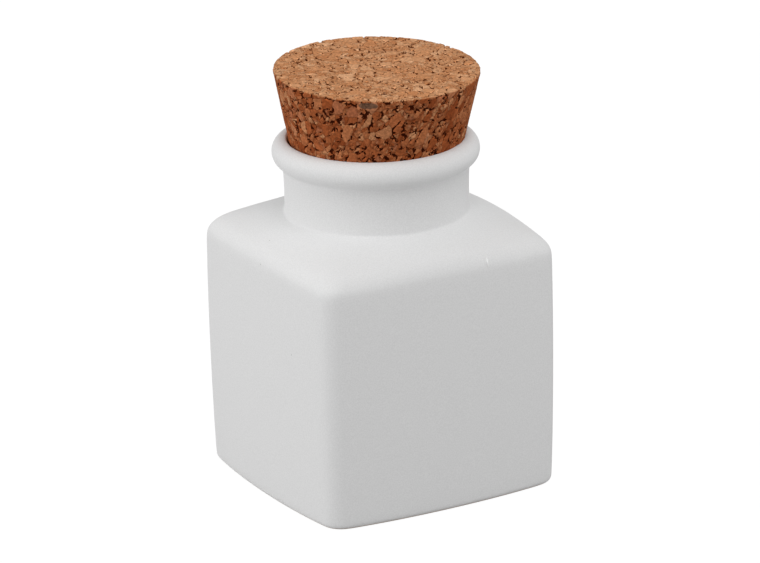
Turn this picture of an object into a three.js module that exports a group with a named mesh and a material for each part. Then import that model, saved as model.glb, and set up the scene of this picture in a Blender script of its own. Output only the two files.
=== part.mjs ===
// Square ceramic canister with a round neck and a rolled lip, closed by a tapered cork.
// Millimetres, +Z up. The origin is the middle of the foot, on the surface that the jar stands on.

import * as THREE from 'three';

const degrees = THREE.MathUtils.degToRad;
const mix = THREE.MathUtils.lerp;

// Jar body, outside
const bodyWidth = 88.5; // between the middles of opposite sides, at the top of the walls
const footWidth = 87; // the same at the foot
const wallSwell = 0.46; // how far the walls swell outwards halfway up
const sideBow = 2.4; // how far a side bows outwards between its two corners
const cornerRadius = 6.5; // upright corners
const footEdgeRadius = 2.5;
const footRingWidth = 7; // flat ring that the jar stands on
const footRecess = 1.2; // depth of the hollow inside that ring
const shoulderHeight = 80.7; // where the planes of wall and shoulder would meet
const shoulderEdgeRadius = 6;
const shoulderSlope = degrees(29.9);
const shoulderEase = 0.25; // share of the slope that is lost on the way to the neck
const shoulderRounding = 1.5; // power of the height by which the square turns round

// Neck and lip
const seatDepth = 11; // height of the tapered seat for the cork
const neckWall = 3.9; // below the seat
const neckHeight = 23.1; // from the top of the fillet at its foot to the crest of the lip
const neckFillet = 1.5; // at the foot of the neck
const lipHeight = 7.3;
const lipOverhang = 3.75; // how far the lip stands out from the neck
const lipInnerRound = 0.95; // from the seat out to the crest
const lipInnerDrop = 2.5; // from the crest down to the seat

// Jar inside
const wallThickness = 4;
const floorThickness = 5;
const innerCornerRadius = 6;
const innerShoulderRadius = 4;
const floorRadius = 6; // between the walls and the floor
const throatRadius = 3; // where the shoulder turns up into the neck

// Cork stopper
const corkTopDiameter = 65.6;
const corkLength = 38;
const corkStandout = 25.2; // from the top of its seat to the top of the cork
const corkTaper = degrees(12); // half angle of the cone, shared by the seat in the neck
const corkEdgeRadius = 0.6;
const seatClearance = 0.3; // between the cork and its seat

// Fineness of the surfaces
const sideSteps = 5; // facets from the middle of a side to its corner
const cornerSteps = 3; // facets on half a corner
const wallSteps = 4;
const slopeSteps = 6;
const edgeSteps = 4; // on the round of an edge
const lipSteps = 10;

const octantSteps = sideSteps + cornerSteps;
const ringSteps = 8 * octantSteps;

// Heights and radii that follow from the sizes above. The mouth is made to fit the cork.
const bodyHalf = bodyWidth / 2;
const footHalf = footWidth / 2;
const corkTopRadius = corkTopDiameter / 2;
const seatGap = seatClearance / Math.cos(corkTaper); // the clearance, measured level
const mouthRadius = corkTopRadius - corkStandout * Math.tan(corkTaper) + seatGap; // at the top of the seat
const boreRadius = mouthRadius - seatDepth * Math.tan(corkTaper);
const neckRadius = boreRadius + neckWall;
const sideRadius = arcRadius(bodyHalf - cornerRadius, sideBow);
const floorHeight = footRecess + floorThickness;

// Radius of the arc that rises by `rise` over half a chord
function arcRadius(halfChord, rise) {
  return (halfChord ** 2 + rise ** 2) / (2 * rise);
}

// Evenly spaced shares from 0 to 1, both ends included
function shares(steps) {
  return Array.from({ length: steps + 1 }, (_, i) => i / steps);
}

// Outlines of the jar at one height. `half` is the distance from the axis to the middle of a side, `corner`
// and `side` are the radii of the corner arc and of the bowed side, and `round` goes from 0, square, to 1,
// a circle.
function squareRing(half, z, corner = cornerRadius, side = sideRadius) {
  return { half, z, corner, side, round: 0 };
}

function circleRing(radius, z) {
  return { half: radius, z, corner: radius, side: radius, round: 1 };
}

// Points of one outline, anticlockwise from +X. Each octant is one half of a side and one half of a corner.
function ringPoints({ half, z, corner, side, round }) {
  const sideCentre = half - side; // on the X axis
  const centreGap = side - corner; // between the centres of the two arcs, where they run into each other
  const cornerCentre = (sideCentre + Math.sqrt(2 * centreGap ** 2 - sideCentre ** 2)) / 2; // on the diagonal
  const turn = Math.atan2(cornerCentre, cornerCentre - sideCentre);
  const meeting = Math.atan2(side * Math.sin(turn), sideCentre + side * Math.cos(turn));

  function octantAngle(step) {
    const even = (step / octantSteps) * (Math.PI / 4);
    const square = step <= sideSteps
      ? (step / sideSteps) * meeting
      : mix(meeting, Math.PI / 4, (step - sideSteps) / cornerSteps);
    return mix(square, even, round);
  }

  function reach(angle) {
    const [cos, sin] = [Math.cos(angle), Math.sin(angle)];
    return angle <= meeting
      ? sideCentre * cos + Math.sqrt(side ** 2 - (sideCentre * sin) ** 2)
      : cornerCentre * (cos + sin) + Math.sqrt(corner ** 2 - (cornerCentre * (sin - cos)) ** 2);
  }

  return Array.from({ length: ringSteps }, (_, i) => {
    const quarter = Math.round(i / (2 * octantSteps));
    const step = i - quarter * 2 * octantSteps; // from the middle of the nearest side
    const angle = octantAngle(Math.abs(step));
    const turned = quarter * (Math.PI / 2) + Math.sign(step) * angle;
    const radius = reach(angle);
    return new THREE.Vector3(radius * Math.cos(turned), radius * Math.sin(turned), z);
  });
}

// Half width of the outside of the wall at a height
function wallHalf(z) {
  const share = z / outerShoulder.wallTop;
  return mix(footHalf, bodyHalf, share) + wallSwell * 4 * share * (1 - share);
}

// Outlines from the top of a wall, round the edge, up the slope and round into the neck. They turn from the
// square of half width `half` into the circle of radius `radius`.
function shoulderRings({ half, radius, height, corner, edge, fillet }) {
  const edgeTurn = Math.PI / 2 - shoulderSlope;
  const wallTop = height - edge * Math.tan(edgeTurn / 2);
  const slopeFoot = wallTop + edge * Math.sin(edgeTurn);
  const slopeHalf = half - edge * (1 - Math.cos(edgeTurn));

  const endSlope = Math.atan(Math.tan(shoulderSlope) * (1 - shoulderEase));
  const filletTurn = Math.PI / 2 - endSlope;
  const run = slopeHalf - radius;
  const slopeRun = run - fillet * (1 - Math.cos(filletTurn));
  const slopeRise = (gone) => Math.tan(shoulderSlope) * gone * (1 - (shoulderEase * gone) / (2 * run));
  const filletFoot = slopeFoot + slopeRise(slopeRun);
  const neckFoot = filletFoot + fillet * Math.sin(filletTurn);

  function ring(ringHalf, z) {
    const inset = (half - ringHalf) / (half - radius);
    const round = ((z - wallTop) / (neckFoot - wallTop)) ** shoulderRounding;
    const curvature = mix(1 / sideRadius, 1 / ringHalf, inset ** 2);
    return { half: ringHalf, z, corner: mix(corner, radius, round), side: 1 / curvature, round };
  }

  const onEdge = shares(edgeSteps).map((share) => {
    const angle = share * edgeTurn;
    return ring(half - edge * (1 - Math.cos(angle)), wallTop + edge * Math.sin(angle));
  });
  const onSlope = shares(slopeSteps).slice(1).map((share) => {
    const gone = share * slopeRun;
    return ring(slopeHalf - gone, slopeFoot + slopeRise(gone));
  });
  const onFillet = shares(edgeSteps).slice(1, -1).map((share) => {
    const left = (1 - share) * filletTurn; // until the wall of the neck is upright
    return ring(radius + fillet * (1 - Math.cos(left)), neckFoot - fillet * Math.sin(left));
  });
  return { wallTop, neckFoot, rings: [...onEdge, ...onSlope, ...onFillet, circleRing(radius, neckFoot)] };
}

const outerShoulder = shoulderRings({
  half: bodyHalf,
  radius: neckRadius,
  height: shoulderHeight,
  corner: cornerRadius,
  edge: shoulderEdgeRadius,
  fillet: neckFillet,
});

const innerShoulder = shoulderRings({
  half: bodyHalf - wallThickness,
  radius: boreRadius,
  height: shoulderHeight + wallThickness * (Math.tan(shoulderSlope) - 1 / Math.cos(shoulderSlope)),
  corner: innerCornerRadius,
  edge: innerShoulderRadius,
  fillet: throatRadius,
});

const lipTop = outerShoulder.neckFoot + neckHeight;
const mouthHeight = lipTop - lipInnerDrop;
const crestRadius = mouthRadius + lipInnerRound;

// Hollow underside, flat foot ring and rounded foot edge, from the axis outwards
function footRings() {
  const ringOuter = footEdgeRadius;
  const ringInner = footEdgeRadius + footRingWidth;
  const hollow = ringInner + footRecess;
  const inset = (by, z) => squareRing(
    footHalf - by,
    z,
    cornerRadius - Math.min(by, footEdgeRadius),
    sideRadius - by,
  );
  const edge = shares(edgeSteps).slice(1).map((share) => {
    const angle = share * (Math.PI / 2);
    const by = footEdgeRadius * (1 - Math.sin(angle));
    const z = footEdgeRadius * (1 - Math.cos(angle));
    return squareRing(wallHalf(z) - by, z, cornerRadius - by);
  });
  return [inset(hollow, footRecess), inset(ringInner, 0), inset(ringOuter, 0), ...edge];
}

function outerWallRings() {
  return shares(wallSteps).slice(1, -1).map((share) => {
    const z = mix(footEdgeRadius, outerShoulder.wallTop, share);
    return squareRing(wallHalf(z), z);
  });
}

// Rolled lip, from under its overhang over the crest, and down into the tapered seat and the bore
function lipRings() {
  const width = neckRadius + lipOverhang - crestRadius;
  const middle = lipTop - lipHeight / 2;
  const start = -Math.acos((neckRadius - crestRadius) / width);
  const outside = shares(lipSteps).map((share) => {
    const angle = mix(start, Math.PI / 2, share);
    return circleRing(crestRadius + width * Math.cos(angle), middle + (lipHeight / 2) * Math.sin(angle));
  });
  const inside = shares(edgeSteps).slice(1).map((share) => {
    const angle = share * (Math.PI / 2);
    return circleRing(
      crestRadius - lipInnerRound * Math.sin(angle),
      mouthHeight + lipInnerDrop * Math.cos(angle),
    );
  });
  return [...outside, ...inside, circleRing(boreRadius, mouthHeight - seatDepth)];
}

// Inner wall from the top down, the round at its foot and the floor
function innerRings() {
  const inner = (by, z) => squareRing(
    wallHalf(z) - wallThickness - by,
    z,
    innerCornerRadius,
    sideRadius - wallThickness - by,
  );
  const wallFoot = floorHeight + floorRadius;
  const wall = shares(wallSteps).slice(1, -1).map((share) => {
    const z = mix(innerShoulder.wallTop, wallFoot, share);
    return inner(0, z);
  });
  const round = shares(edgeSteps).map((share) => {
    const angle = share * (Math.PI / 2);
    return inner(floorRadius * (1 - Math.cos(angle)), wallFoot - floorRadius * Math.sin(angle));
  });
  return [...wall, ...round];
}

// Closed surface through the outlines, from a point on the axis to another
function loftGeometry(first, rings, last) {
  const points = [first, ...rings.flatMap(ringPoints), last];
  const index = [];
  const at = (ring, step) => 1 + ring * ringSteps + (step % ringSteps);
  const end = points.length - 1;
  for (let step = 0; step < ringSteps; step += 1) {
    index.push(0, at(0, step + 1), at(0, step));
    for (let ring = 0; ring + 1 < rings.length; ring += 1) {
      index.push(at(ring, step), at(ring, step + 1), at(ring + 1, step + 1));
      index.push(at(ring, step), at(ring + 1, step + 1), at(ring + 1, step));
    }
    index.push(at(rings.length - 1, step), at(rings.length - 1, step + 1), end);
  }
  const geometry = new THREE.BufferGeometry().setFromPoints(points).setIndex(index);
  geometry.computeVertexNormals();
  return geometry;
}

// Jar in one cast and fired piece: body, shoulder, neck and lip, hollow inside
function jarBody() {
  const rings = [
    ...footRings(),
    ...outerWallRings(),
    ...outerShoulder.rings,
    ...lipRings(),
    ...innerShoulder.rings.toReversed(),
    ...innerRings(),
  ];
  const underside = new THREE.Vector3(0, 0, footRecess);
  const floor = new THREE.Vector3(0, 0, floorHeight);
  const bisque = new THREE.MeshStandardMaterial({ color: 0xe6e5e3, roughness: 0.85, metalness: 0 });
  const jar = new THREE.Mesh(loftGeometry(underside, rings, floor), bisque);
  jar.name = 'jar_body';
  return jar;
}

// Cork cut as a cone frustum with broken edges. It wedges where its side meets the seat.
function corkStopper() {
  const bottom = -corkLength;
  const bottomRadius = corkTopRadius - corkLength * Math.tan(corkTaper);
  const slant = corkEdgeRadius * Math.tan(corkTaper);
  const profile = [
    [0, bottom],
    [bottomRadius - corkEdgeRadius, bottom],
    [bottomRadius + slant, bottom + corkEdgeRadius],
    [corkTopRadius - slant, -corkEdgeRadius],
    [corkTopRadius - corkEdgeRadius, 0],
    [0, 0],
  ].map(([radius, height]) => new THREE.Vector2(radius, height));
  const cork = new THREE.MeshStandardMaterial({ color: 0xb08560, roughness: 0.95, metalness: 0 });
  const stopper = new THREE.Mesh(new THREE.LatheGeometry(profile, ringSteps), cork);
  stopper.name = 'cork_stopper';
  stopper.rotation.x = Math.PI / 2; // the lathe turns about Y
  stopper.position.z = mouthHeight + corkStandout;
  return stopper;
}

const canister = new THREE.Group();
canister.add(jarBody(), corkStopper());

export default canister;
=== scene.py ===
import math

import bmesh
import bpy
from mathutils import Matrix, Vector


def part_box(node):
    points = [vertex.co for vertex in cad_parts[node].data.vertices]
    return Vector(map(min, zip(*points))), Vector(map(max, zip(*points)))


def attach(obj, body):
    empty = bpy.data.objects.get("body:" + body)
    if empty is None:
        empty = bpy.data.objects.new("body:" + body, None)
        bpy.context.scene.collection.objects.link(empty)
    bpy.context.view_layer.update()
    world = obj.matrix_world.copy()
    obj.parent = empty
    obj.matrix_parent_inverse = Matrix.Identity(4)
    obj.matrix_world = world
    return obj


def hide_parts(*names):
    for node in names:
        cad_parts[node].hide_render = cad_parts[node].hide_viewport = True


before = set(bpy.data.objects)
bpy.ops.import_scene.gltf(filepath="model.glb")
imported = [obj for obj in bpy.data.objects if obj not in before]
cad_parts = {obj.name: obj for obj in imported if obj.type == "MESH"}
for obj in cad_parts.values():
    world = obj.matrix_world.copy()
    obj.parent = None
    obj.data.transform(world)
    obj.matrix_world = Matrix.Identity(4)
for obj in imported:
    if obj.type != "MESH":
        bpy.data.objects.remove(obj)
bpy.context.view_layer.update()        # jar_body on the body jar, cork_stopper on the body stopper
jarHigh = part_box("jar_body")[1]
corkLow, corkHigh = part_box("cork_stopper")
bpy.context.scene.view_settings.view_transform = "Standard"
print("frame loaded")


# selecting and shaping in edit mode

hair = 1e-6  # points that are nearer than this lie together


def startPiece(name):
    piece = bpy.context.object
    piece.name = name
    piece.data.name = name
    return piece


def onlySelect(*pieces):
    bpy.ops.object.select_all(action="DESELECT")
    for piece in pieces:
        piece.select_set(True)
    bpy.context.view_layer.objects.active = pieces[-1]


def pickPoints(test):  # selects the points of the edited mesh that pass the test
    bpy.ops.mesh.select_mode(type="VERT")
    mesh = bmesh.from_edit_mesh(bpy.context.object.data)
    for point in mesh.verts:
        point.select_set(test(point.co))
    mesh.select_flush_mode()
    bmesh.update_edit_mesh(bpy.context.object.data)


def pickedPoints():
    mesh = bmesh.from_edit_mesh(bpy.context.object.data)
    return [point.co.copy() for point in mesh.verts if point.select]


def applyModifier(piece, kind, **settings):
    modifier = piece.modifiers.new(kind.lower(), kind)
    for setting, value in settings.items():
        setattr(modifier, setting, value)
    onlySelect(piece)
    bpy.ops.object.modifier_apply(modifier=modifier.name)


# jar: one cast piece, square below and round above

jar = {
    "bodyWidth": 0.0885,  # between the middles of opposite sides, at the top of the walls
    "footWidth": 0.087,
    "wallSwell": 0.00046,  # how far a wall swells out halfway up
    "sideBow": 0.0027,  # how far a side bows out between its corners
    "cornerRadius": 0.0061,
    "footEdge": 0.0021,
    "footRing": 0.007,  # flat ring that the jar stands on
    "footHollow": 0.0012,
    "shoulderHeight": 0.0814,  # where the planes of wall and shoulder would meet
    "shoulderEdge": 0.007,
    "shoulderSlope": math.radians(28.8),
    "shoulderEase": 0.48,  # share of the slope that is lost on the way to the neck
    "shoulderRounding": 1.3,  # power of the height by which the square turns round
    "seatDepth": 0.011,
    "neckWall": 0.0039,
    "neckFillet": 0.0012,
    "lipHeight": 0.0088,
    "lipOverhang": 0.00375,
    "lipInnerRound": 0.00095,
    "lipInnerDrop": 0.0025,
    "wallThickness": 0.004,
    "floorThickness": 0.005,
    "floorRadius": 0.006,
    "innerEdge": 0.004,  # inside, under the shoulder
    "throatRadius": 0.003,
    "seatClearance": 0.0003,
    "sideCuts": 19,  # points along a side, an odd number
    "cornerSegments": 4,
    "tipRoom": 0.7,  # share of a step along the side that a corner's arc needs
    "roundSteps": 4,  # outlines round the foot's edge, the floor's edge and the mouth
    "wallLevels": (0.1, 0.25, 0.5, 0.75, 0.94),  # outlines up the wall, as shares of its height
    "innerLevels": (0.5, 0.9),
    "edgeSteps": 4,  # outlines round the shoulder's edge and the foot of the neck
    "slopeSteps": 6,
    "innerSteps": 3,
    "lipSteps": 10,
    "smoothing": 2,
}
corkTaper = math.radians(12)  # half angle of the cork's cone and of its seat


def arcShares(steps):
    return [step / steps for step in range(1, steps + 1)]


def blendNumber(a, b, share):
    return a + (b - a) * share


def cornerReach(half, corner, side):  # from the axis to the round corner of an outline with bowed sides
    sideCentre = half - side
    cornerCentre = (sideCentre + math.sqrt(2 * (side - corner) ** 2 - sideCentre ** 2)) / 2
    return cornerCentre * math.sqrt(2) + corner


bodyHalf = jar["bodyWidth"] / 2
footHalf = jar["footWidth"] / 2
sideChord = bodyHalf - jar["cornerRadius"]
sideRadius = (sideChord ** 2 + jar["sideBow"] ** 2) / (2 * jar["sideBow"])
bodyReach = cornerReach(bodyHalf, jar["cornerRadius"], sideRadius)
squareReach = bodyReach / bodyHalf  # for each unit of half width
mouthHeight = jarHigh.z - jar["lipInnerDrop"]
corkStandout = corkHigh.z - mouthHeight
seatGap = jar["seatClearance"] / math.cos(corkTaper)
mouthRadius = corkHigh.x - corkStandout * math.tan(corkTaper) + seatGap
boreRadius = mouthRadius - jar["seatDepth"] * math.tan(corkTaper)
neckRadius = boreRadius + jar["neckWall"]


def shoulderOutlines(half, radius, height, edge, fillet, edgeSteps, slopeSteps):
    # half width, height and corner reach from the top of a wall, up the slope, to the foot of the neck
    slope = jar["shoulderSlope"]
    edgeTurn = math.pi / 2 - slope
    wallTop = height - edge * math.tan(edgeTurn / 2)
    slopeFoot = wallTop + edge * math.sin(edgeTurn)
    slopeHalf = half - edge * (1 - math.cos(edgeTurn))
    filletTurn = math.pi / 2 - math.atan(math.tan(slope) * (1 - jar["shoulderEase"]))
    run = slopeHalf - radius
    slopeRun = run - fillet * (1 - math.cos(filletTurn))

    def rise(gone):
        return math.tan(slope) * gone * (1 - jar["shoulderEase"] * gone / (2 * run))

    neckFoot = slopeFoot + rise(slopeRun) + fillet * math.sin(filletTurn)
    profile = [(half, wallTop)]
    for share in arcShares(edgeSteps):
        turn = share * edgeTurn
        profile.append((half - edge * (1 - math.cos(turn)), wallTop + edge * math.sin(turn)))
    for share in arcShares(slopeSteps):
        profile.append((slopeHalf - share * slopeRun, slopeFoot + rise(share * slopeRun)))
    for share in arcShares(edgeSteps):
        turn = (1 - share) * filletTurn
        profile.append((radius + fillet * (1 - math.cos(turn)), neckFoot - fillet * math.sin(turn)))

    outlines = []
    for ringHalf, z in profile:
        inset = (half - ringHalf) / (half - radius)
        rounded = ((z - wallTop) / (neckFoot - wallTop)) ** jar["shoulderRounding"]
        side = 1 / blendNumber(1 / sideRadius, 1 / ringHalf, inset ** 2)
        reach = cornerReach(ringHalf, blendNumber(jar["cornerRadius"], radius, rounded), side)
        outlines.append((ringHalf, z, reach))
    return wallTop, outlines


wallTop, outerShoulder = shoulderOutlines(
    bodyHalf, neckRadius, jar["shoulderHeight"], jar["shoulderEdge"], jar["neckFillet"],
    jar["edgeSteps"], jar["slopeSteps"])
innerDrop = jar["wallThickness"] * (1 / math.cos(jar["shoulderSlope"]) - math.tan(jar["shoulderSlope"]))
innerWallTop, innerShoulder = shoulderOutlines(
    bodyHalf - jar["wallThickness"], boreRadius, jar["shoulderHeight"] - innerDrop, jar["innerEdge"],
    jar["throatRadius"], jar["innerSteps"], jar["innerSteps"])


def wallHalf(z):
    share = z / wallTop
    return blendNumber(footHalf, bodyHalf, share) + jar["wallSwell"] * 4 * share * (1 - share)


def drawOutline(half, z):  # a square with bowed sides and round corners, open, left in edit mode
    size = half / bodyHalf
    bowRadius = sideRadius * size
    flat = bowRadius * (math.sqrt(1 + 2 * half / bowRadius) - 1)  # half of the square before its sides bow
    bow = half / flat
    bpy.ops.object.select_all(action="DESELECT")
    bpy.ops.mesh.primitive_plane_add(size=2 * flat, location=(0, 0, z))
    bpy.ops.object.transform_apply(location=True, rotation=True, scale=True)
    bpy.ops.object.mode_set(mode="EDIT")
    bpy.ops.mesh.select_all(action="SELECT")
    bpy.ops.mesh.delete(type="ONLY_FACE")
    bpy.ops.mesh.select_mode(type="EDGE")
    bpy.ops.mesh.select_all(action="SELECT")
    bpy.ops.mesh.subdivide(number_cuts=jar["sideCuts"])
    pickPoints(lambda p: min(abs(p.x), abs(p.y)) < hair)  # the middles of the sides
    bpy.ops.transform.resize(value=(bow, bow, 1), center_override=(0, 0, z), use_proportional_edit=True,
                             proportional_edit_falloff="INVERSE_SQUARE", proportional_size=flat)
    tip = math.hypot(flat, flat)
    arcRoom = jar["tipRoom"] * 2 * flat / (jar["sideCuts"] + 1)
    pickPoints(lambda p: hair < tip - p.xy.length < arcRoom)  # these give way to the corners' arcs
    bpy.ops.mesh.dissolve_verts()
    pickPoints(lambda p: tip - p.xy.length < hair)
    turn = math.pi / 2 - 2 * flat / bowRadius
    bpy.ops.mesh.bevel(offset=jar["cornerRadius"] * size * math.tan(turn / 2), offset_type="OFFSET",
                       affect="VERTICES", segments=jar["cornerSegments"], profile=0.5, clamp_overlap=False)
    bpy.ops.mesh.select_all(action="SELECT")


def raiseOutline(half, z, reach):  # extrudes the selected outline to the next height, width and roundness
    last = pickedPoints()
    axis = (0, 0, z)
    bpy.ops.mesh.extrude_edges_move(TRANSFORM_OT_translate={"value": (0, 0, z - last[0].z)})
    wide = max(p.x for p in last)
    far = max(p.xy.length for p in last)
    middle = sum(p.xy.length for p in last) / len(last)
    share = reach / half
    excess = far - share * wide  # how much too far out the corners stand
    if excess > hair / 10:
        rounder = excess / (share * (middle - wide) - (middle - far))
        bpy.ops.transform.tosphere(value=rounder, center_override=axis)
        wide = max(p.x for p in pickedPoints())
    bpy.ops.transform.resize(value=(half / wide, half / wide, 1), center_override=axis)


def raiseWall(half, z):
    raiseOutline(half, z, half * squareReach)


def raiseShell(outlines):
    for half, z, reach in outlines:
        raiseOutline(half, z, reach)


def lipOutlines():  # rolled lip, its crest and the tapered seat of the cork, all round
    crest = mouthRadius + jar["lipInnerRound"]
    width = neckRadius + jar["lipOverhang"] - crest
    middle = jarHigh.z - jar["lipHeight"] / 2
    start = -math.acos((neckRadius - crest) / width)
    rings = []
    for share in [0] + arcShares(jar["lipSteps"]):
        turn = blendNumber(start, math.pi / 2, share)
        rings.append((crest + width * math.cos(turn), middle + jar["lipHeight"] / 2 * math.sin(turn)))
    for share in arcShares(jar["roundSteps"]):
        turn = share * math.pi / 2
        rings.append((crest - jar["lipInnerRound"] * math.sin(turn),
                      mouthHeight + jar["lipInnerDrop"] * math.cos(turn)))
    rings.append(((mouthRadius + boreRadius) / 2, mouthHeight - jar["seatDepth"] / 2))
    rings.append((boreRadius, mouthHeight - jar["seatDepth"]))
    return [(radius, z, radius) for radius, z in rings]


def makeOuterShell():
    edge = jar["footEdge"]
    ringOuter = footHalf - edge
    ringInner = ringOuter - jar["footRing"]
    hollowHalf = ringInner - jar["footHollow"]
    drawOutline(ringOuter, 0)
    outer = startPiece("jar")
    for share in arcShares(jar["roundSteps"]):
        turn = share * math.pi / 2
        z = edge * (1 - math.cos(turn))
        raiseWall(wallHalf(z) - edge * (1 - math.sin(turn)), z)
    for share in jar["wallLevels"]:
        z = share * wallTop
        raiseWall(wallHalf(z), z)
    raiseShell(outerShoulder)
    raiseShell(lipOutlines())
    pickPoints(lambda p: p.z < hair)
    bpy.ops.mesh.edge_face_add()
    bpy.ops.mesh.select_mode(type="FACE")
    for half, lastHalf, lift in ((ringInner, ringOuter, 0), (hollowHalf, ringInner, jar["footHollow"])):
        bpy.ops.mesh.extrude_region_move(TRANSFORM_OT_translate={"value": (0, 0, lift)})
        bpy.ops.transform.resize(value=(half / lastHalf, half / lastHalf, 1), center_override=(0, 0, lift))
    bpy.ops.object.mode_set(mode="OBJECT")
    return outer


def makeInnerShell():
    radius = jar["floorRadius"]
    floorTop = jar["footHollow"] + jar["floorThickness"]
    wallFoot = floorTop + radius

    def insideHalf(z):
        return wallHalf(z) - jar["wallThickness"]

    drawOutline(insideHalf(floorTop) - radius, floorTop)
    inner = startPiece("jarInside")
    for share in arcShares(jar["roundSteps"]):
        turn = share * math.pi / 2
        z = wallFoot - radius * math.cos(turn)
        raiseWall(insideHalf(z) - radius * (1 - math.sin(turn)), z)
    for share in jar["innerLevels"]:
        z = blendNumber(wallFoot, innerWallTop, share)
        raiseWall(insideHalf(z), z)
    raiseShell(innerShoulder)
    pickPoints(lambda p: p.z < floorTop + hair)
    bpy.ops.mesh.edge_face_add()
    bpy.ops.object.mode_set(mode="OBJECT")
    return inner


def makeJar():
    outer = makeOuterShell()
    inner = makeInnerShell()
    onlySelect(inner, outer)
    bpy.ops.object.join()
    bpy.ops.object.mode_set(mode="EDIT")
    bpy.ops.mesh.select_mode(type="EDGE")
    bpy.ops.mesh.select_all(action="DESELECT")
    bpy.ops.mesh.select_non_manifold()  # the two open ends, which meet in the bore
    bpy.ops.mesh.bridge_edge_loops()
    bpy.ops.mesh.select_all(action="SELECT")
    bpy.ops.mesh.normals_make_consistent(inside=False)
    bpy.ops.object.mode_set(mode="OBJECT")
    applyModifier(outer, "SUBSURF", levels=jar["smoothing"], render_levels=jar["smoothing"])
    bpy.ops.object.shade_smooth()
    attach(outer, "jar")
    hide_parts("jar_body")
    return outer


jarPiece = makeJar()
print("jar modelled:", len(jarPiece.data.polygons), "faces")


# node helpers

def put(tree, kind, inputs=None, **settings):
    # adds a node, and an input takes a number, a colour or another node's output
    node = tree.nodes.new(kind)
    for setting, value in settings.items():
        setattr(node, setting, value)
    for name, value in (inputs or {}).items():
        if isinstance(value, bpy.types.NodeSocket):
            tree.links.new(value, node.inputs[name])
        else:
            node.inputs[name].default_value = value
    return node


def calc(tree, operation, a, b=0.0):
    return put(tree, "ShaderNodeMath", {0: a, 1: b}, operation=operation).outputs[0]


def remap(tree, value, low, high, start=0.0, end=1.0):  # smooth step from start to end
    inputs = {"Value": value, "From Min": low, "From Max": high, "To Min": start, "To Max": end}
    return put(tree, "ShaderNodeMapRange", inputs, interpolation_type="SMOOTHSTEP").outputs["Result"]


def mixColour(tree, share, a, b, blend="MIX"):
    return put(tree, "ShaderNodeMix", {0: share, 6: a, 7: b}, data_type="RGBA", blend_type=blend).outputs[2]


def mixVector(tree, share, a, b):
    return put(tree, "ShaderNodeMix", {0: share, 4: a, 5: b}, data_type="VECTOR").outputs[1]


def vector(tree, operation, a, b, c=(0.0, 0.0, 0.0)):
    return put(tree, "ShaderNodeVectorMath", {0: a, 1: b, 2: c}, operation=operation).outputs[0]


def dot(tree, a, b):
    return put(tree, "ShaderNodeVectorMath", {0: a, 1: b}, operation="DOT_PRODUCT").outputs["Value"]


def split(tree, place):  # X, Y and Z of a vector
    return put(tree, "ShaderNodeSeparateXYZ", {0: place}).outputs


def noise(tree, place, size, detail=2.0, output="Fac"):  # size is the length of one wave
    inputs = {"Vector": place, "Scale": 1 / size, "Detail": detail}
    return put(tree, "ShaderNodeTexNoise", inputs).outputs[output]


def cells(tree, place, size, feature="F1"):
    return put(tree, "ShaderNodeTexVoronoi", {"Vector": place, "Scale": 1 / size}, feature=feature).outputs


def newFinish(name):
    material = bpy.data.materials.new(name)
    material.use_nodes = True
    return material, material.node_tree, material.node_tree.nodes["Principled BSDF"]


def addRelief(tree, shader, relief):  # relief is in metres
    bump = put(tree, "ShaderNodeBump", {"Height": relief, "Distance": 1.0, "Strength": 1.0})
    tree.links.new(bump.outputs["Normal"], shader.inputs["Normal"])


def setShine(shader, finish):
    shader.inputs["Roughness"].default_value = finish["roughness"]
    shader.inputs["Specular IOR Level"].default_value = finish["shine"]


def dress(piece, material):
    piece.data.materials.clear()
    piece.data.materials.append(material)


def grey(value):
    return (value, value, value, 1)


def evenGrey(tree, value):
    return put(tree, "ShaderNodeCombineColor", {0: value, 1: value, 2: value}).outputs[0]


# bisque: matte white clay with a fine grain, a few pinholes with painted shade, one raised fleck with a
# painted highlight, and a painted brownish reflection along the foot's edge

bisque = {
    "colour": (0.79, 0.79, 0.79, 1),
    "speckle": 0.0004,
    "speckleLimits": (0.3, 0.7),  # noise values at which the speckle is darkest and palest
    "speckleRange": (0.965, 1.035),
    "grain": 0.0005,
    "grainDepth": 0.00002,
    "pinholeSpacing": 0.011,
    "pinholeRadius": 0.00022,
    # painted shade inside the pinholes, which are also sunk a little by bump
    "pinholeShadeTone": grey(0.42),
    "fleckAside": 0.0149,  # on the front, at the edge of the shoulder
    "fleckHeight": 0.0796,
    "fleckHalf": (0.0007, 0.0017),  # half its width and half its height
    "fleckRise": 0.00045,
    # painted highlight: the fleck is pure white so that its raised bump reads bright
    "fleckHighlightTone": grey(1.0),
    "footReflection": (0.62, 0.52, 0.45, 1),  # painted brownish reflection along the bottom edge of the foot
    "footReflectionHeight": 0.0011,
    "core": 0.5,  # share of a pinhole's painted shade, the fleck's painted highlight or the foot's painted reflection that has its full colour
    "roughness": 0.85,
    "shine": 0.2,
}


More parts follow.
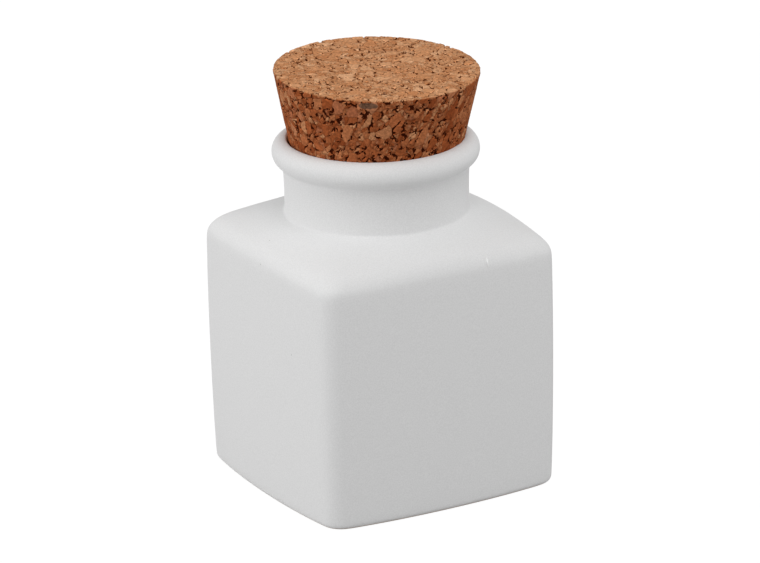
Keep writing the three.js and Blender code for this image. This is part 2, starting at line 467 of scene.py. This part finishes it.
def bisqueFinish():
    material, tree, shader = newFinish("bisque")
    place = put(tree, "ShaderNodeTexCoord").outputs["Object"]
    across = split(tree, place)
    core = bisque["core"]
    speckle = noise(tree, place, bisque["speckle"])
    speckle = remap(tree, speckle, *bisque["speckleLimits"], *bisque["speckleRange"])
    colour = mixColour(tree, 1.0, bisque["colour"], evenGrey(tree, speckle), "MULTIPLY")
    hole = cells(tree, place, bisque["pinholeSpacing"])["Distance"]
    radius = bisque["pinholeRadius"] / bisque["pinholeSpacing"]
    # painted shade: the pinholes are darkened as if their pits were in shade
    solid = remap(tree, hole, radius * core, radius)
    colour = mixColour(tree, solid, bisque["pinholeShadeTone"], colour)
    # painted brownish reflection along the lowest millimetre of the foot's edge
    foot = remap(tree, across["Z"], bisque["footReflectionHeight"] * core, bisque["footReflectionHeight"])
    colour = mixColour(tree, foot, bisque["footReflection"], colour)

    half, tall = bisque["fleckHalf"]
    aside = calc(tree, "DIVIDE", calc(tree, "SUBTRACT", across["X"], bisque["fleckAside"]), half)
    upward = calc(tree, "DIVIDE", calc(tree, "SUBTRACT", across["Z"], bisque["fleckHeight"]), tall)
    squares = calc(tree, "ADD", calc(tree, "MULTIPLY", aside, aside), calc(tree, "MULTIPLY", upward, upward))
    reach = calc(tree, "SQRT", squares)
    onFront = calc(tree, "LESS_THAN", across["Y"], 0.0)
    fleck = calc(tree, "MULTIPLY", remap(tree, reach, 0.0, 1.0, 1.0, 0.0), onFront)
    # painted highlight: the fleck is whitened where its raised bump would catch the light
    white = calc(tree, "MULTIPLY", remap(tree, reach, core, 1.0, 1.0, 0.0), onFront)
    colour = mixColour(tree, white, colour, bisque["fleckHighlightTone"])
    tree.links.new(colour, shader.inputs["Base Color"])

    grain = calc(tree, "MULTIPLY", noise(tree, place, bisque["grain"]), bisque["grainDepth"])
    relief = calc(tree, "ADD", grain, calc(tree, "MULTIPLY", fleck, bisque["fleckRise"]))
    relief = calc(tree, "ADD", relief, calc(tree, "MULTIPLY", solid, bisque["pinholeRadius"]))
    addRelief(tree, shader, relief)
    setShine(shader, bisque)
    return material


dress(jarPiece, bisqueFinish())
print("bisque finished")


# cork: pressed chips, cut as a cone, with gaps where chips have broken out

cork = {
    "sides": 128,  # of the cone before it is remeshed
    "voxel": 0.0004,
    "rim": 0.0004,
    "rimSegments": 2,
    "topFacing": (0.4, 0.8),  # upward parts of the normal between which the side turns into the top
    "chipSizes": (0.0036, 0.0022, 0.0013),
    "chipTurns": ((0.4, 0.9, 0.2), (1.3, 0.3, 1.0), (0.7, 2.0, 2.1)),  # how the chips of each size lie
    "chipSquash": (0.62, 1.15, 1.25),  # chips are longer where this is below 1
    "brokenShares": (0.75, 0.40),  # share of the chips of one size that are broken into the next
    "missingShare": 0.014,  # of the smallest chips
    "jag": 0.0008,  # how ragged the chips' borders are
    "jagSize": 0.0013,
    "gapPatch": 0.0018,  # size of the stretches in which borders gape
    "gapStart": 0.515,  # noise value from which they do
    "gapStartTop": 0.505,
    "gapFull": 0.63,
    "gapWidth": 0.00040,
    "gapWidthTop": 0.00034,  # the top is cut clean
    "gapNarrowing": 0.35,  # how much narrower gaps are between the smallest chips
    "gapEdge": 0.00012,
    "gapDepth": 0.0005,
    "chipStep": 0.00015,  # how far one chip stands back from another
    "lean": math.radians(2.54),
    "leanTowards": Vector((0.2, -1, 0)),
    "sink": 0.00043,  # how much deeper the leaning cork sits
}
midTone = (0.5, 0.5, 0.5)  # middle of a noise colour and of a chip's own numbers


def chipPattern(tree, place, top):
    # ragged chips of several sizes: a chip's own numbers, the way from its middle, the distance to its border
    # in metres, where the borders gape or a chip is missing, and how near the gaps are
    wobble = noise(tree, place, cork["jagSize"], output="Color")
    centred = vector(tree, "SUBTRACT", wobble, midTone)
    ragged = vector(tree, "MULTIPLY_ADD", centred, (cork["jag"],) * 3, place)
    chip = fromMiddle = border = broken = None
    for size, turn, share in zip(cork["chipSizes"], cork["chipTurns"], (None, *cork["brokenShares"])):
        inputs = {"Vector": ragged, "Rotation": turn}
        turned = put(tree, "ShaderNodeVectorRotate", inputs, rotation_type="EULER_XYZ").outputs[0]
        lying = vector(tree, "MULTIPLY", turned, cork["chipSquash"])
        finer = cells(tree, lying, size)
        finerMiddle = vector(tree, "SUBTRACT", lying, finer["Position"])
        finerBorder = cells(tree, lying, size, "DISTANCE_TO_EDGE")["Distance"]
        finerBorder = calc(tree, "MULTIPLY", finerBorder, size)
        if chip is None:
            chip, fromMiddle, border = finer["Color"], finerMiddle, finerBorder
            continue
        broken = calc(tree, "LESS_THAN", split(tree, chip)["X"], share)
        chip = mixVector(tree, broken, chip, finer["Color"])
        fromMiddle = mixVector(tree, broken, fromMiddle, finerMiddle)
        whole = calc(tree, "SUBTRACT", 1.0, broken)
        border = calc(tree, "MINIMUM", border, calc(tree, "ADD", finerBorder, whole))

    gapStart = remap(tree, top, 0.0, 1.0, cork["gapStart"], cork["gapStartTop"])
    gaping = remap(tree, noise(tree, place, cork["gapPatch"]), gapStart, cork["gapFull"])
    widest = remap(tree, top, 0.0, 1.0, cork["gapWidth"], cork["gapWidthTop"])
    widest = calc(tree, "MULTIPLY", widest, remap(tree, broken, 0.0, 1.0, 1.0, 1 - cork["gapNarrowing"]))
    inside = calc(tree, "SUBTRACT", calc(tree, "MULTIPLY", gaping, widest), border)
    gap = remap(tree, inside, 0.0, cork["gapEdge"])
    beside = calc(tree, "MULTIPLY", gaping, remap(tree, inside, -cork["gapWidth"], 0.0))
    missing = calc(tree, "LESS_THAN", split(tree, chip)["Y"], cork["missingShare"])
    missing = calc(tree, "MULTIPLY", broken, missing)
    missing = calc(tree, "MULTIPLY", missing, calc(tree, "SUBTRACT", 1.0, top))
    pit = calc(tree, "MULTIPLY", missing, remap(tree, border, 0.0, cork["gapEdge"]))
    gap = calc(tree, "MAXIMUM", gap, pit)
    return {"place": ragged, "chip": chip, "fromMiddle": fromMiddle,
            "border": border, "gap": gap, "beside": beside}


def corkRelief():  # sinks the cracks and pits into the cut surface and remembers where each point was
    tree = bpy.data.node_groups.new("corkRelief", "GeometryNodeTree")
    tree.interface.new_socket("Geometry", in_out="INPUT", socket_type="NodeSocketGeometry")
    tree.interface.new_socket("Geometry", in_out="OUTPUT", socket_type="NodeSocketGeometry")
    start = put(tree, "NodeGroupInput").outputs[0]
    place = put(tree, "GeometryNodeInputPosition").outputs[0]
    facing = put(tree, "GeometryNodeInputNormal").outputs[0]
    top = remap(tree, split(tree, facing)["Z"], *cork["topFacing"])
    pattern = chipPattern(tree, place, top)
    level = split(tree, pattern["chip"])["Y"]
    depth = calc(tree, "MULTIPLY", pattern["gap"], cork["gapDepth"])
    depth = calc(tree, "ADD", depth, calc(tree, "MULTIPLY", level, cork["chipStep"]))
    inward = calc(tree, "MULTIPLY", depth, -1.0)
    offset = put(tree, "ShaderNodeVectorMath", {0: facing, "Scale": inward}, operation="SCALE").outputs[0]
    store = "GeometryNodeStoreNamedAttribute"
    kept = put(tree, store, {"Geometry": start, "Name": "cutPlace", "Value": place}, data_type="FLOAT_VECTOR")
    kept = put(tree, store, {"Geometry": kept.outputs[0], "Name": "cutTop", "Value": top}, data_type="FLOAT")
    moved = put(tree, "GeometryNodeSetPosition", {"Geometry": kept.outputs[0], "Offset": offset})
    put(tree, "NodeGroupOutput", {0: moved.outputs[0]})
    return tree


def leanCork(piece):  # about the middle of its seat, as it was pushed in
    seatMiddle = Vector((0, 0, mouthHeight - jar["seatDepth"] / 2))
    axis = Vector((0, 0, 1)).cross(cork["leanTowards"].normalized())
    turn = Matrix.Rotation(cork["lean"], 3, axis)
    bpy.ops.object.mode_set(mode="EDIT")
    bpy.ops.mesh.select_all(action="SELECT")
    mesh = bmesh.from_edit_mesh(piece.data)
    bmesh.ops.rotate(mesh, cent=seatMiddle, matrix=turn, verts=mesh.verts)
    bmesh.update_edit_mesh(piece.data)
    bpy.ops.transform.translate(value=(0, 0, -cork["sink"]))
    bpy.ops.object.mode_set(mode="OBJECT")


def makeCork():
    length = corkHigh.z - corkLow.z
    topRadius = corkHigh.x
    bottomRadius = topRadius - length * math.tan(corkTaper)
    middle = (corkHigh.z + corkLow.z) / 2
    bpy.ops.object.select_all(action="DESELECT")
    bpy.ops.mesh.primitive_cone_add(vertices=cork["sides"], radius1=bottomRadius, radius2=topRadius,
                                    depth=length, location=(0, 0, middle))
    piece = startPiece("cork")
    bpy.ops.object.transform_apply(location=True, rotation=True, scale=True)
    bpy.ops.object.mode_set(mode="EDIT")
    for end in (corkLow.z, corkHigh.z):
        pickPoints(lambda p: abs(p.z - end) < hair)
        bpy.ops.mesh.bevel(offset=cork["rim"], segments=cork["rimSegments"], profile=0.5, affect="EDGES")
    bpy.ops.object.mode_set(mode="OBJECT")
    applyModifier(piece, "REMESH", mode="VOXEL", voxel_size=cork["voxel"])
    applyModifier(piece, "NODES", node_group=corkRelief())
    bpy.ops.object.shade_smooth()
    leanCork(piece)
    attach(piece, "stopper")
    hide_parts("cork_stopper")
    return piece


corkPiece = makeCork()
print("cork modelled:", len(corkPiece.data.polygons), "faces")


corkTones = {
    "side": (  # share of the chips up to which a colour holds, and the colour
        (0.00, (0.26, 0.060, 0.017)),
        (0.20, (0.335, 0.085, 0.025)),
        (0.55, (0.40, 0.118, 0.041)),
        (0.82, (0.465, 0.160, 0.062)),
        (1.00, (0.58, 0.262, 0.122)),
    ),
    "top": (
        (0.00, (0.50, 0.200, 0.080)),
        (0.20, (0.57, 0.250, 0.108)),
        (0.55, (0.62, 0.292, 0.136)),
        (0.82, (0.67, 0.338, 0.168)),
        (1.00, (0.73, 0.400, 0.215)),
    ),
    "dull": (0.19, 0.095, 0.056, 1),  # the few grey chips
    "dullShare": 0.005,
    "dullStrength": (0.8, 0.3),  # on the side and on the top
    "dullPlace": (-0.0178, -0.0262, 0.1336),  # one larger grey chip below the rim, at the front
    "dullHalf": (0.0030, 0.0030, 0.0011),
    "pink": (0.46, 0.180, 0.090, 1),
    "pinkShare": 0.14,
    "pinkStrength": 0.45,
    # painted shade: near-black colour in the gaps and the pits of missing chips, which are also sunk into the
    # surface
    "gapShadeSide": (0.055, 0.0075, 0.001, 1),
    "gapShadeTop": (0.10, 0.022, 0.004, 1),
    "litEdge": 0.40,  # painted highlight: how much paler a chip is beside a gap
    "speck": 0.0008,
    "speckDetail": 3.0,
    "speckLimits": (0.35, 0.65),  # noise values at which a speck is darkest and palest
    "speckRange": (0.80, 1.16),
    "seamShadeHalf": 0.00016,
    "seamShadeTone": 0.70,  # painted shade along the borders of the chips
    "seamShadeToneTop": 0.80,
    "streak": 0.0006,
    "streakDetail": 1.0,
    "streakLimits": (0.3, 0.7),
    "streakRange": (0.92, 1.08),
    "speckDepth": 0.00012,
    "grooveDepth": 0.00010,  # along the chips' borders
    "grooveHalf": 0.00035,
    "tilt": 0.20,  # slope of a chip's own face
    "roughness": 0.95,
    "shine": 0.05,
}


def toneRamp(tree, share, tones):
    ramp = put(tree, "ShaderNodeValToRGB", {0: share})
    stops = ramp.color_ramp.elements
    for position, tone in tones[1:-1]:
        stops.new(position)
    for stop, (position, tone) in zip(stops, tones):
        stop.position = position
        stop.color = (*tone, 1)
    return ramp.outputs["Color"]


def corkFinish():
    material, tree, shader = newFinish("corkChips")
    place = put(tree, "ShaderNodeAttribute", attribute_name="cutPlace").outputs["Vector"]
    top = put(tree, "ShaderNodeAttribute", attribute_name="cutTop").outputs["Fac"]
    pattern = chipPattern(tree, place, top)
    parts = split(tree, pattern["chip"])
    border = pattern["border"]

    side = toneRamp(tree, parts["Z"], corkTones["side"])
    pink = calc(tree, "GREATER_THAN", parts["Y"], 1 - corkTones["pinkShare"])
    side = mixColour(tree, calc(tree, "MULTIPLY", pink, corkTones["pinkStrength"]), side, corkTones["pink"])
    colour = mixColour(tree, top, side, toneRamp(tree, parts["Z"], corkTones["top"]))
    dull = calc(tree, "LESS_THAN", parts["Y"], corkTones["dullShare"])
    dull = calc(tree, "MULTIPLY", dull, remap(tree, top, 0.0, 1.0, *corkTones["dullStrength"]))
    apart = vector(tree, "SUBTRACT", pattern["place"], corkTones["dullPlace"])
    apart = vector(tree, "DIVIDE", apart, corkTones["dullHalf"])
    chosen = calc(tree, "LESS_THAN", dot(tree, apart, apart), 1.0)
    gap = calc(tree, "MULTIPLY", pattern["gap"], calc(tree, "SUBTRACT", 1.0, chosen))
    dull = calc(tree, "MAXIMUM", dull, chosen)
    colour = mixColour(tree, dull, colour, corkTones["dull"])

    speck = noise(tree, place, corkTones["speck"], corkTones["speckDetail"])
    chipWay = vector(tree, "SUBTRACT", pattern["chip"], midTone)
    along = dot(tree, place, vector(tree, "NORMALIZE", chipWay, chipWay))
    layer = put(tree, "ShaderNodeCombineXYZ", {0: along, 1: parts["X"], 2: parts["Y"]}).outputs[0]
    streak = noise(tree, layer, corkTones["streak"], corkTones["streakDetail"])
    # painted shade along the chips' borders, darker on the side than on the top
    seamShadeTone = remap(tree, top, 0.0, 1.0, corkTones["seamShadeTone"], corkTones["seamShadeToneTop"])
    light = remap(tree, speck, *corkTones["speckLimits"], *corkTones["speckRange"])
    for part in (
        remap(tree, streak, *corkTones["streakLimits"], *corkTones["streakRange"]),
        # painted highlight on the chips beside the gaps
        remap(tree, pattern["beside"], 0.0, 1.0, 1.0, 1.0 + corkTones["litEdge"]),
        remap(tree, border, 0.0, corkTones["seamShadeHalf"], seamShadeTone, 1.0),
    ):
        light = calc(tree, "MULTIPLY", light, part)
    colour = mixColour(tree, 1.0, colour, evenGrey(tree, light), "MULTIPLY")
    # painted shade in the gaps and pits, lighter on the top
    colour = mixColour(tree, gap, colour, mixColour(tree, top, corkTones["gapShadeSide"], corkTones["gapShadeTop"]))
    tree.links.new(colour, shader.inputs["Base Color"])

    relief = calc(tree, "MULTIPLY", dot(tree, pattern["fromMiddle"], chipWay), corkTones["tilt"])
    relief = calc(tree, "ADD", relief, calc(tree, "MULTIPLY", speck, corkTones["speckDepth"]))
    groove = remap(tree, border, 0.0, corkTones["grooveHalf"], 0.0, corkTones["grooveDepth"])
    addRelief(tree, shader, calc(tree, "ADD", relief, groove))
    setShine(shader, corkTones)
    return material


dress(corkPiece, corkFinish())
print("cork finished")


# camera at the photograph's angle

shot = {
    "azimuth": math.radians(-29.05),
    "elevation": math.radians(18.986),
    "roll": math.radians(-1.281),
    "distance": 1.6,
    "lookHeight": 0.0637414,
    "lookAside": 0.0004129,
    "focalPixels": 5037.0,
    "imageWidth": 760,
    "sensor": 36.0,
}


def placeCamera():
    a, e, r = shot["azimuth"], shot["elevation"], shot["roll"]
    back = Vector((math.sin(a) * math.cos(e), -math.cos(a) * math.cos(e), math.sin(e)))
    aside = Vector((math.cos(a), math.sin(a), 0))
    above = back.cross(aside)
    right = math.cos(r) * aside + math.sin(r) * above
    up = math.cos(r) * above - math.sin(r) * aside
    eye = Vector((0, 0, shot["lookHeight"])) + shot["lookAside"] * aside + shot["distance"] * back
    bpy.ops.object.camera_add()
    camera = bpy.context.object
    camera.name = "camera"
    camera.data.sensor_fit = "HORIZONTAL"
    camera.data.sensor_width = shot["sensor"]
    camera.data.lens = shot["focalPixels"] * shot["sensor"] / shot["imageWidth"]
    camera.matrix_world = Matrix.Translation(eye) @ Matrix((right, up, back)).transposed().to_4x4()
    bpy.context.scene.camera = camera


placeCamera()
print("camera placed")


# studio: floor that looks white, soft light from all round and four softboxes

studio = {
    "floorSize": 6.0,
    "floorColour": (0.5, 0.5, 0.5, 1),
    "roughness": 1.0,
    "shine": 0.0,
    "shadowShare": 0.15,  # how much of the floor's own light the camera sees, the rest is plain white
    "whiteFill": 1.14,
    "worldLight": 0.522,
    "softboxes": (  # name, place, power in watts, size
        ("softboxLeft", (-1.5, 0.2, 0.3), 7.3, 0.8),
        ("softboxBehind", (-1.15, 0.75, 0.8), 2.3, 0.8),
        ("softboxRight", (1.2, -1.2, 0.7), 4.65, 1.0),
        ("softboxAbove", (-0.1, -0.7, 1.4), 6.1, 0.8),
    ),
}


def seenDirectly(tree):  # 1 where the eye, a mirror or clear glass looks at the background
    path = put(tree, "ShaderNodeLightPath").outputs
    seen = calc(tree, "MAXIMUM", path["Is Camera Ray"], path["Is Glossy Ray"])
    return calc(tree, "MAXIMUM", seen, path["Is Transmission Ray"])


def layFloor():
    bpy.ops.object.select_all(action="DESELECT")
    bpy.ops.mesh.primitive_plane_add(size=studio["floorSize"], location=(0, 0, 0))
    floor = startPiece("floor")
    material, tree, shader = newFinish("floorWhite")
    shader.inputs["Base Color"].default_value = studio["floorColour"]
    setShine(shader, studio)
    white = put(tree, "ShaderNodeEmission", {"Color": grey(1.0), "Strength": studio["whiteFill"]})
    share = calc(tree, "MULTIPLY", seenDirectly(tree), 1 - studio["shadowShare"])
    mixed = put(tree, "ShaderNodeMixShader", {0: share, 1: shader.outputs[0], 2: white.outputs[0]})
    tree.links.new(mixed.outputs[0], tree.nodes["Material Output"].inputs["Surface"])
    dress(floor, material)


def lightWorld():
    world = bpy.data.worlds.new("studioWorld")
    bpy.context.scene.world = world
    world.use_nodes = True
    tree = world.node_tree
    background = tree.nodes["Background"]
    strength = remap(tree, seenDirectly(tree), 0.0, 1.0, studio["worldLight"], 1.0)
    tree.links.new(strength, background.inputs["Strength"])
    background.inputs["Color"].default_value = grey(1.0)


def hangSoftbox(name, place, power, size):
    bpy.ops.object.light_add(type="AREA", location=place)
    lamp = bpy.context.object
    lamp.name = name
    lamp.data.shape = "SQUARE"
    lamp.data.size = size
    lamp.data.energy = power
    towards = Vector((0, 0, jarHigh.z / 2)) - Vector(place)
    lamp.rotation_mode = "QUATERNION"
    lamp.rotation_quaternion = towards.to_track_quat("-Z", "Y")
    lamp.visible_camera = False


layFloor()
lightWorld()
for softbox in studio["softboxes"]:
    hangSoftbox(*softbox)
print("studio lit")
